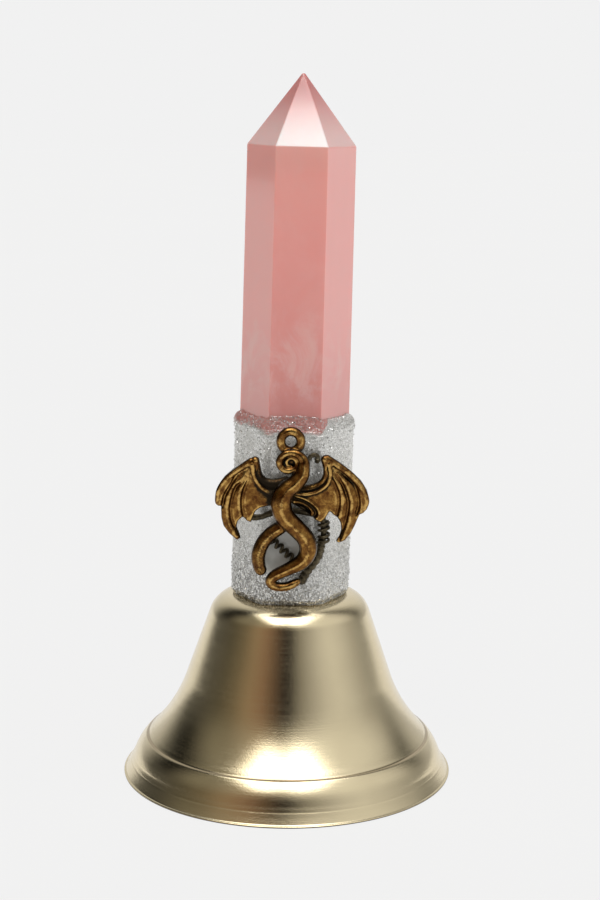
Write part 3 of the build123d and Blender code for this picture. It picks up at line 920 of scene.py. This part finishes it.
silver_resin = glitter_resin()
resin_glue = cloudy_resin()
collar_wall = collar()
glaze_wall = glaze()
foot_bead()
dice = np.random.default_rng(SEED)
scattered = [(collar_wall, 5200), (collar_wall[:34], 2600), (glaze_wall, 420)]
flakes("collar_glitter", scattered, dice)


# ---------------------------------------------------------------- dragon charm
# The charm is worked out as a distance field, in millimetres on the collar's front: u across,
# v up from the charm's middle, and h forward from the charm's flat back.
CHARM_GRID = 0.14
CHARM_LOW = np.array([-14.8, -15.6, -0.7])
CHARM_HIGH = np.array([14.6, 15.6, 4.9])
FAR = 1.5


class Field:
    """A block of distances to a shape that grows as pieces are added to it."""

    def __init__(self):
        self.size = np.ceil((CHARM_HIGH - CHARM_LOW) / CHARM_GRID).astype(int)
        self.value = np.full(self.size, FAR, np.float32)
        self.axes = [CHARM_LOW[k] + CHARM_GRID * np.arange(self.size[k]) for k in range(3)]

    def window(self, low, high):
        """Slices of the block, and its places, that lie between two corners."""
        cut = []
        for k in range(3):
            first = int(np.floor((low[k] - FAR - CHARM_LOW[k]) / CHARM_GRID))
            last = int(np.ceil((high[k] + FAR - CHARM_LOW[k]) / CHARM_GRID)) + 1
            cut.append(slice(max(first, 0), min(last, self.size[k])))
        u, v, h = np.meshgrid(*(axis[c] for axis, c in zip(self.axes, cut)), indexing="ij", sparse=True)
        return tuple(cut), u, v, h

    def limb(self, stations, flatten=1.0):
        """A rounded limb through stations of u, v, h and radius, flattened front to back."""
        stations = np.asarray(stations, float)
        reach = np.linalg.norm(np.diff(stations[:, :3], axis=0), axis=1).sum()
        stations = spline(stations, max(4, int(reach / 0.4)))
        for first, last in zip(stations[:-1], stations[1:]):
            wide = max(first[3], last[3])
            low, high = np.minimum(first, last)[:3] - wide, np.maximum(first, last)[:3] + wide
            cut, u, v, h = self.window(low, high)
            along = last[:3] - first[:3]
            along[2] /= flatten
            u, v, h = u - first[0], v - first[1], (h - first[2]) / flatten
            t = np.clip((u * along[0] + v * along[1] + h * along[2]) / (along @ along + 1e-9), 0, 1)
            away = np.sqrt((u - t * along[0]) ** 2 + (v - t * along[1]) ** 2 + (h - t * along[2]) ** 2)
            distance = away - (first[3] + t * (last[3] - first[3]))
            self.value[cut] = np.minimum(self.value[cut], distance)

    def plate(self, outline, front, rounding=0.35):
        """A plate with a closed outline (u, v), a flat back and a front of varying height."""
        cut, u, v, h = self.window(np.append(outline.min(0), 0), np.append(outline.max(0), 2.4))
        flat_u, flat_v = np.broadcast_arrays(u[:, :, 0], v[:, :, 0])
        side = outline_distance(outline, flat_u, flat_v)[:, :, None] + rounding
        top = front(flat_u, flat_v)[:, :, None]
        depth = np.maximum(h - top, -h) + rounding
        outer = np.sqrt(np.maximum(side, 0) ** 2 + np.maximum(depth, 0) ** 2)
        distance = outer + np.minimum(np.maximum(side, depth), 0) - rounding
        self.value[cut] = np.minimum(self.value[cut], distance)

    def look(self, points):
        """The distance at any points, read between the block's own points."""
        place = (points - CHARM_LOW) / CHARM_GRID
        place = np.clip(place, 0, self.size - 1.001)
        cell = place.astype(int)
        part = place - cell
        total = np.zeros(len(points))
        for corner in np.ndindex(2, 2, 2):
            weight = np.prod(np.where(corner, part, 1 - part), axis=1)
            total += weight * self.value[tuple((cell + corner).T)]
        return total


def path_distance(path, u, v):
    """Distance of places to an open path, and on which side of it they are: positive on its left."""
    nearest, side = np.full(u.shape, 1e9), np.zeros(u.shape)
    for (u0, v0), (u1, v1) in zip(path[:-1], path[1:]):
        du, dv = u1 - u0, v1 - v0
        t = np.clip(((u - u0) * du + (v - v0) * dv) / (du * du + dv * dv + 1e-12), 0, 1)
        away = np.hypot(u - u0 - t * du, v - v0 - t * dv)
        closer = away < nearest
        nearest = np.where(closer, away, nearest)
        side = np.where(closer, np.sign(du * (v - v0) - dv * (u - u0)), side)
    return nearest, side


def outline_distance(outline, u, v):
    """Distance to a closed outline, negative inside it."""
    closed = np.vstack([outline, outline[:1]])
    nearest = path_distance(closed, u, v)[0]
    inside = np.zeros(u.shape, bool)
    for (u0, v0), (u1, v1) in zip(closed[:-1], closed[1:]):
        if v0 != v1:
            crosses = ((v0 > v) != (v1 > v)) & (u < (u1 - u0) * (v - v0) / (v1 - v0) + u0)
            inside ^= crosses
    return np.where(inside, -nearest, nearest)


def surface_net(field):
    """The zero surface of a field: a point for each cell that it crosses, joined by quads."""
    value = field.value
    inside = value < 0
    low = np.zeros(np.array(value.shape) - 1, int)
    for corner in np.ndindex(2, 2, 2):
        low += inside[tuple(slice(c, n - 1 + c) for c, n in zip(corner, value.shape))]
    cells = np.argwhere((low > 0) & (low < 8))
    index = np.full(low.shape, -1)
    index[tuple(cells.T)] = np.arange(len(cells))
    total, count = np.zeros((len(cells), 3)), np.zeros(len(cells))
    for corner in np.ndindex(2, 2, 2):
        for axis in range(3):
            if corner[axis]:
                continue
            other = tuple(c + (k == axis) for k, c in enumerate(corner))
            a = value[tuple((cells + corner).T)]
            b = value[tuple((cells + other).T)]
            crossed = (a < 0) != (b < 0)
            t = np.where(crossed, a / np.where(a == b, 1, a - b), 0)
            place = np.array(corner) + t[:, None] * (np.arange(3) == axis)
            total += place * crossed[:, None]
            count += crossed
    points = CHARM_LOW + (cells + total / count[:, None]) * CHARM_GRID
    faces = []
    for axis in range(3):
        ahead = np.roll(inside, -1, axis)
        start = np.argwhere(inside != ahead)
        start = start[(start > 0).all(1) & (start < np.array(value.shape) - 1).all(1)]
        b, c = (axis + 1) % 3, (axis + 2) % 3
        step_b, step_c = np.eye(3, dtype=int)[b], np.eye(3, dtype=int)[c]
        quad = [index[tuple((start - move).T)] for move in (0, step_b, step_b + step_c, step_c)]
        quad = np.stack(quad, 1)
        forward = inside[tuple(start.T)]
        quad[~forward] = quad[~forward][:, ::-1]
        faces.append(quad)
    return points, np.concatenate(faces)


LEFT_WING = [(-7.1, 9.3), (-9.1, 8.2), (-10.4, 7.3), (-12.0, 5.8), (-13.1, 4.0), (-13.5, 2.3), (-13.6, 1.3),
             (-13.1, 0.6), (-12.5, 0.6), (-12.4, -1.5), (-12.0, -3.0), (-11.0, -4.3), (-9.6, -5.5),
             (-8.9, -5.1), (-9.3, -4.0), (-9.7, -3.1), (-9.5, -2.1), (-8.7, -1.2), (-8.0, -2.0), (-7.2, -2.3),
             (-6.9, -1.3), (-6.4, -0.2), (-5.6, 0.4), (-4.4, 0.7), (-3.0, 0.9), (-1.4, 1.3), (-1.2, 5.0),
             (-3.0, 4.8), (-4.6, 4.9), (-5.7, 5.9), (-6.0, 7.2), (-6.1, 8.9)]
RIGHT_WING = [(5.5, 10.1), (6.9, 9.5), (8.5, 8.5), (10.3, 7.0), (11.8, 5.7), (12.9, 4.0), (13.4, 2.1),
              (13.1, 0.8), (12.4, -0.1), (11.7, -0.3), (11.5, -0.9), (11.0, -2.3), (10.3, -3.8), (9.4, -5.0),
              (8.1, -5.6), (7.7, -5.2), (8.3, -4.3), (8.6, -3.2), (8.5, -2.1), (8.0, -1.1), (7.2, -0.6),
              (6.5, 0.1), (5.8, -1.2), (4.9, -2.0), (4.0, -1.5), (2.9, -0.7), (1.2, 0.2), (-0.4, 1.5),
              (-1.0, 3.6), (1.6, 4.0), (3.4, 4.2), (5.0, 5.1), (5.7, 6.2), (5.8, 7.2), (5.2, 8.4), (4.8, 9.4)]
LEFT_FOLDS = [
    [(-8.0, 8.1), (-9.6, 6.8), (-11.1, 4.3), (-12.1, 2.4), (-12.4, 0.6)],
    [(-7.6, 7.4), (-8.8, 5.3), (-10.1, 4.1), (-10.8, 1.9), (-11.0, -0.1), (-10.7, -2.1), (-9.6, -4.2)],
    [(-7.4, 6.6), (-8.0, 5.5), (-8.9, 2.7), (-8.9, 0.0), (-8.4, -1.4)],
]
RIGHT_FOLDS = [
    [(7.0, 8.7), (9.1, 6.7), (10.5, 5.4), (11.4, 3.5), (11.7, 1.4), (11.4, -0.1)],
    [(6.6, 7.6), (7.9, 6.2), (8.9, 4.7), (9.7, 2.6), (9.9, 1.0), (9.5, -1.6), (8.6, -4.6)],
    [(6.4, 6.6), (7.3, 5.2), (8.1, 3.1), (8.2, 1.1), (7.9, -0.6)],
]
# The head's spiral: turn in degrees, reach from its eye and radius of the limb.
HEAD_CURL = [(-35, 2.35, 1.12), (0, 2.30, 0.98), (45, 1.98, 0.74), (90, 1.78, 0.60), (135, 1.92, 0.62),
             (180, 2.08, 0.64), (225, 1.76, 0.60), (270, 1.38, 0.56), (315, 1.16, 0.50), (360, 1.02, 0.42),
             (450, 0.84, 0.34), (540, 0.84, 0.34), (630, 0.70, 0.30)]
# Neck, back and tail with its end folded under; and the second tail.  Each place is u, v, h and radius.
BODY = [(1.75, 8.4, 2.1, 1.05), (1.5, 6.7, 2.1, 1.30), (0.3, 5.2, 2.1, 1.50), (-1.1, 4.0, 2.1, 1.68),
        (-1.9, 2.5, 2.1, 1.82), (-1.95, 0.7, 2.1, 1.84), (-1.0, -1.2, 2.0, 1.74), (0.9, -3.0, 1.9, 1.62),
        (2.5, -4.8, 1.8, 1.60), (2.9, -6.9, 1.75, 1.56), (1.9, -8.8, 1.7, 1.40), (-0.3, -10.2, 1.6, 1.18),
        (-2.7, -11.5, 1.45, 1.05), (-3.6, -12.7, 1.25, 0.92), (-2.7, -13.6, 1.1, 0.84),
        (-0.9, -13.65, 1.05, 0.80), (0.5, -13.1, 1.0, 0.76), (1.2, -12.7, 0.9, 0.62)]
SECOND_TAIL = [(-0.9, -2.1, 1.3, 1.1), (-2.3, -3.1, 1.3, 1.22), (-4.0, -4.4, 1.25, 1.26),
               (-5.2, -6.1, 1.2, 1.28), (-5.8, -8.1, 1.2, 1.26), (-5.6, -9.9, 1.2, 1.16),
               (-5.3, -10.6, 1.2, 1.08)]
CLAW_FOLD = [(0.0, 2.5), (1.6, 2.1), (3.0, 1.4), (4.1, 0.4), (4.4, -0.5), (4.0, -1.1)]
LEFT_WRIST, RIGHT_WRIST = (-7.4, 8.2), (6.0, 9.0)
HEAD, EYELET = (-0.46, 8.75), (-0.6, 12.35)
DARK_ARM = [(-0.8, 5.1), (-3.2, 4.7), (-5.0, 5.0), (-5.9, 6.2), (-6.1, 7.6)]


def wing_front(folds, left):
    """Height of a wing's front: a fold swells to a ridge, drops off inwards and fades at the wrist."""
    wrist = LEFT_WRIST if left else RIGHT_WRIST

    def front(u, v):
        height = np.full(u.shape, 1.05)
        depth = np.clip(np.hypot(u - wrist[0], v - wrist[1]) / 3.4 - 0.3, 0, 1)
        for fold in folds:
            away, side = path_distance(spline(fold, 40), u, v)
            signed = away * side * (1 if left else -1)
            height += 0.36 * depth * np.exp(-((signed + 0.42) / 0.48) ** 2)
            height -= 0.34 * depth * np.exp(-((signed - 0.20) / 0.20) ** 2)
        if not left:
            away, side = path_distance(spline(CLAW_FOLD, 40), u, v)
            signed = away * side
            near = np.exp(-((u - 2.0) / 3.2) ** 4)
            height += near * 0.25 * np.exp(-((signed - 0.25) / 0.25) ** 2)
            height -= near * 0.62 * np.exp(-((signed + 0.30) / 0.24) ** 2)
            height -= 0.75 * np.exp(-(((u - 1.7) / 1.5) ** 2 + ((v - 0.3 + 0.4 * (u - 1.7)) / 0.9) ** 2) ** 2)
        return np.clip(height, 0.3, 2.2)
    return front


def charm_field():
    """The whole charm as a distance field."""
    field = Field()
    field.plate(np.array(LEFT_WING), wing_front(LEFT_FOLDS, True))
    field.plate(np.array(RIGHT_WING), wing_front(RIGHT_FOLDS, False))
    # Leading edges, from the wrist down to the wing's tip.
    field.limb([(-7.4, 8.7, 1.2, 0.66), (-9.6, 7.2, 1.2, 0.55), (-11.6, 5.5, 1.15, 0.52),
                (-12.8, 3.6, 1.1, 0.50), (-13.1, 2.0, 1.05, 0.48), (-13.1, 1.2, 1.0, 0.42)])
    field.limb([(5.8, 9.6, 1.3, 0.62), (8.4, 7.9, 1.3, 0.62), (10.4, 6.3, 1.2, 0.60), (12.0, 4.4, 1.15, 0.58),
                (12.8, 2.2, 1.1, 0.55), (12.5, 0.8, 1.0, 0.48)])
    # Arms, from the shoulders up to the wrists.
    field.limb([(-1.2, 4.9, 0.15, 1.15), (-3.2, 4.5, 0.15, 1.05), (-5.0, 4.8, 0.2, 0.95),
                (-6.1, 5.9, 0.35, 0.85), (-6.5, 7.6, 0.7, 0.80), (-6.7, 8.9, 1.2, 0.72)])
    field.limb([(-2.2, 3.1, 1.4, 0.45), (-4.0, 3.3, 1.5, 0.38), (-5.6, 4.2, 1.55, 0.36),
                (-6.8, 6.0, 1.6, 0.40), (-7.2, 8.2, 1.55, 0.55)])
    field.limb([(0.0, 3.9, 0.3, 0.85), (2.2, 3.8, 0.4, 0.75), (4.4, 4.5, 0.4, 0.72), (5.6, 5.8, 0.5, 0.70),
                (5.8, 7.6, 0.8, 0.70), (5.4, 9.4, 1.3, 0.76)])
    field.limb([(0.0, 3.3, 1.5, 0.38), (2.4, 3.2, 1.6, 0.36), (4.4, 3.8, 1.65, 0.36), (5.9, 5.1, 1.65, 0.38),
                (6.4, 6.8, 1.6, 0.42), (6.1, 8.6, 1.5, 0.50)])
    # The two tails, each with a low crest along it.
    for limb in (BODY, SECOND_TAIL):
        field.limb(limb)
        u, v, h, radius = np.array(limb).T
        field.limb(np.stack([u, v, h + 0.66 * radius, 0.42 * radius], 1))
    # The head curls in on itself, over a thin web.
    head_u, head_v = HEAD
    field.limb([(head_u - 0.3, head_v, 0.4, 1.5), (head_u + 0.3, head_v, 0.4, 1.5)], 0.6)
    angle, reach, thick = spline(HEAD_CURL, 70).T
    angle = np.radians(angle)
    sink = np.linspace(0, 0.35, len(angle))
    u, v = head_u + reach * np.cos(angle), head_v + reach * np.sin(angle)
    field.limb(np.stack([u, v, 2.1 - sink, thick], 1))
    # The eyelet on top.
    turn = np.linspace(0, 2 * pi, 33)
    u, v = EYELET[0] + 1.75 * np.cos(turn), EYELET[1] + 1.75 * np.sin(turn)
    field.limb(np.stack([u, v, 1.0 + 0 * turn, 0.82 + 0 * turn], 1))
    # A flat back, as cast in an open mould.
    back = -field.axes[2][None, None, :]
    field.value = np.maximum(field.value, back.astype(np.float32))
    return field


def charm_wear_and_painted_light(field, points):
    """How recessed, worn and open to the front each point of the charm lies, with the painted shade and
    painted highlights that go with its finish.
    """
    u, v, h = points.T
    slope = np.stack([field.look(points + 0.1 * e) - field.look(points - 0.1 * e) for e in np.eye(3)], 1)
    slope /= np.maximum(np.linalg.norm(slope, axis=1), 1e-9)[:, None]
    facing = np.clip(slope[:, 2], 0, 1) * np.clip((h - 0.35) / 0.65, 0, 1)
    patina_and_shade, rub_and_highlight = np.zeros(len(points)), np.zeros(len(points))
    # Dark in the hollows, from how closely the charm closes round each point: patina in its recesses.
    for reach in (0.35, 0.7, 1.1):
        patina_and_shade += np.clip(1 - field.look(points + slope * reach) / reach, 0, 1) / 3
    # Convex places that face the front: partly worn by rubbing, partly painted highlight.
    for e in np.eye(3):
        rub_and_highlight += field.look(points + 0.4 * e) + field.look(points - 0.4 * e)
    rub_and_highlight = np.clip(rub_and_highlight / 0.32, 0, 1) ** 0.6 * np.clip((facing - 0.55) / 0.4, 0, 1)
    # Painted shade darkens the left arm's upper side and the root of the left wing, the second tail is darker
    # too, and the wrists are worn bright with a painted highlight.
    patina_and_shade += 0.5 * np.clip(1.3 - path_distance(spline(DARK_ARM, 30), u, v)[0], 0, 1) * (h < 1.45)
    patina_and_shade += 0.38 * np.exp(-(((u + 4.3) / 2.6) ** 2 + ((v - 2.7) / 2.0) ** 2))
    away = path_distance(spline(np.array(SECOND_TAIL)[2:, :2], 30), u, v)[0]
    patina_and_shade += 0.32 * np.clip(2.0 - away, 0, 1)
    for wrist_u, wrist_v in (LEFT_WRIST, RIGHT_WRIST):
        away = np.hypot(u - wrist_u - 1.4 * np.sign(wrist_u), v - wrist_v + 1.4)
        near = np.exp(-(away / 3.0) ** 4)
        rub_and_highlight = np.maximum(rub_and_highlight, 0.82 * near * np.clip((facing - 0.45) / 0.4, 0, 1))
        patina_and_shade *= 1 - 0.45 * near
    return {"patina_and_shade": patina_and_shade, "rub_and_highlight": rub_and_highlight, "facing": facing}


def charm():
    """The antique charm; how worn each of its points is, with its painted shade and painted highlights, goes
    with it for its finish.
    """
    field = charm_field()
    for axis in range(3):
        value = field.value
        field.value = (np.roll(value, 1, axis) + 2 * value + np.roll(value, -1, axis)) / 4
    points, faces = surface_net(field)
    placed = on_handle(points[:, 0], -(COLLAR_FRONT + CHARM_GAP + points[:, 2]), CHARM_MIDDLE + points[:, 1])
    made = piece("dragon", placed, faces, "bell", antique_brass(), ["dragon_charm"])
    for name, values in charm_wear_and_painted_light(field, points).items():
        made.data.attributes.new(name, "FLOAT", "POINT").data.foreach_set("value", values.astype(np.float32))


CHARM_GAP = CHARM_BACK - COLLAR_FRONT
charm()


# ---------------------------------------------------------------- wires and glue behind the charm
WIRE_LIFT = 0.8


def on_front(route):
    """Row-frame points of places on the collar's front: u across, v up from the charm's middle, h forward."""
    route = np.asarray(route, float)
    return on_handle(route[:, 0], -(COLLAR_FRONT + WIRE_LIFT + route[:, 2]), CHARM_MIDDLE + route[:, 1])


def wire_piece(name, node, finish, *tubes):
    """Tubes of (route, radius, sides) on the collar's front as one piece that stands for a CAD node."""
    points, faces = join(*(tube(on_front(route), radius, sides) for route, radius, sides in tubes))
    piece(name, points, faces, "bell", finish, [node])


def wires():
    """Tarnished wire bent behind the charm, with a wrap, a loose coil and a curl that ends in a bead."""
    finish = dark_wire()
    left = spline([(-7.5, -1.7, -0.6), (-6.6, -1.8, -0.2), (-5.4, -1.6, 0.0), (-4.2, -1.1, 0.0),
                   (-2.8, -0.6, 0.0), (-0.5, -0.4, -0.1), (2.2, -0.6, -0.1), (4.4, -1.1, 0.0),
                   (5.4, -1.9, 0.0), (5.6, -3.4, 0.0), (5.6, -5.2, -0.1), (5.3, -6.4, -0.2)], 90)
    size = 0.54 + 0.05 * np.sin(np.linspace(0, 25, 90))
    tail = spline([(5.3, -5.9, -0.3), (5.15, -7.0, -0.35), (4.85, -8.4, -0.4), (4.0, -9.9, -0.45),
                   (3.0, -11.3, -0.5), (2.3, -12.6, -0.65), (2.0, -13.3, -0.9)], 60)
    knobs = 0.74 + 0.08 * np.sin(np.linspace(0, 60, 60))
    wire_piece("bent_wire", "wire_loop", finish, (left, size, 14), (tail, knobs, 16))
    wrap = helix([(5.5, -1.9, 0.1), (5.6, -3.8, 0.15), (5.6, -5.9, 0.05)], 0.92, 4.4, 28, 0.6)
    wire_piece("wire_winding", "wire_wrap", finish, (wrap, 0.25, 12))
    coil = helix([(-4.4, -4.9, 0.1), (-1.6, -7.4, 0.1), (1.2, -9.9, 0.1)], 0.52, 6.2, 28, 0.2)
    wire_piece("loose_coil", "wire_coil", finish, (coil, 0.30, 12))
    curl = spline([(1.6, 8.3, 0.3), (2.5, 8.9, 0.3), (3.1, 9.6, 0.3), (3.8, 9.75, 0.3), (4.25, 9.25, 0.25),
                   (4.1, 8.7, 0.2)], 40)
    bead = np.append(np.full(34, 0.40), 0.40 + 0.2 * np.sin(np.linspace(0.3, 2.6, 6)))
    wire_piece("wire_hook", "wire_curl", finish, (curl, bead, 14))


def glue_patch(outline, rise, rings=12):
    """A pool of glue on the collar's front, domed and thin at its edge, with its back sunk in the collar."""
    outline = spline(np.vstack([outline, outline[:1]]), 97)[:-1]
    centre = outline.mean(0)
    rows = []
    for share in np.append(np.linspace(0.04, 1, rings), 1.0):
        flat = centre + (outline - centre) * share
        lift = rise * sqrt(max(1 - share**2, 0)) if len(rows) < rings else -0.5
        rows.append(np.column_stack([flat, np.full(len(flat), lift - WIRE_LIFT - 0.05)]))
    middle = centre + (outline - centre) * 0.04
    rows.append(np.column_stack([middle, np.full(len(middle), -0.5 - WIRE_LIFT)]))
    return on_front(np.concatenate(rows)), capped_faces(len(rows), len(outline))


def glue_column(u, v, radius):
    """A waisted blob of glue from the collar to the charm's back."""
    lifts = np.linspace(-0.4, CHARM_GAP + 0.15, 12)
    waist = 0.78 + 0.3 * ((lifts - 0.7) / 1.1) ** 2
    turn = np.linspace(0, 2 * pi, 28, endpoint=False)
    rows = []
    for lift, wide in zip(lifts, waist):
        reach = radius * wide * (1 + 0.07 * np.sin(3 * turn + u))
        level = lift - WIRE_LIFT + 0 * turn
        rows.append(np.column_stack([u + reach * np.cos(turn), v + reach * np.sin(turn), level]))
    return on_front(np.concatenate(rows)), capped_faces(len(rows), len(turn))


def glue_pieces():
    """What holds the charm: four blobs, and the smooth pool that ran down inside the tail's loop."""
    blobs = [glue_column(u, v, 1.15) for u, v in ((-1.4, 2.6), (-4.4, 3.0), (2.6, 2.4), (3.0, -6.2))]
    loop = np.array([(-1.5, -2.6), (0.8, -3.6), (2.4, -6.0), (2.3, -8.6), (0.5, -10.4), (-2.2, -12.0),
                     (-4.6, -11.6), (-5.3, -9.0), (-4.8, -6.2), (-3.4, -3.8)])
    pool = glue_patch(loop, 0.3)
    points, faces = join(pool, *blobs)
    piece("charm_glue", points, faces, "bell", resin_glue, ["charm_glue_dots"])


wires()
glue_pieces()
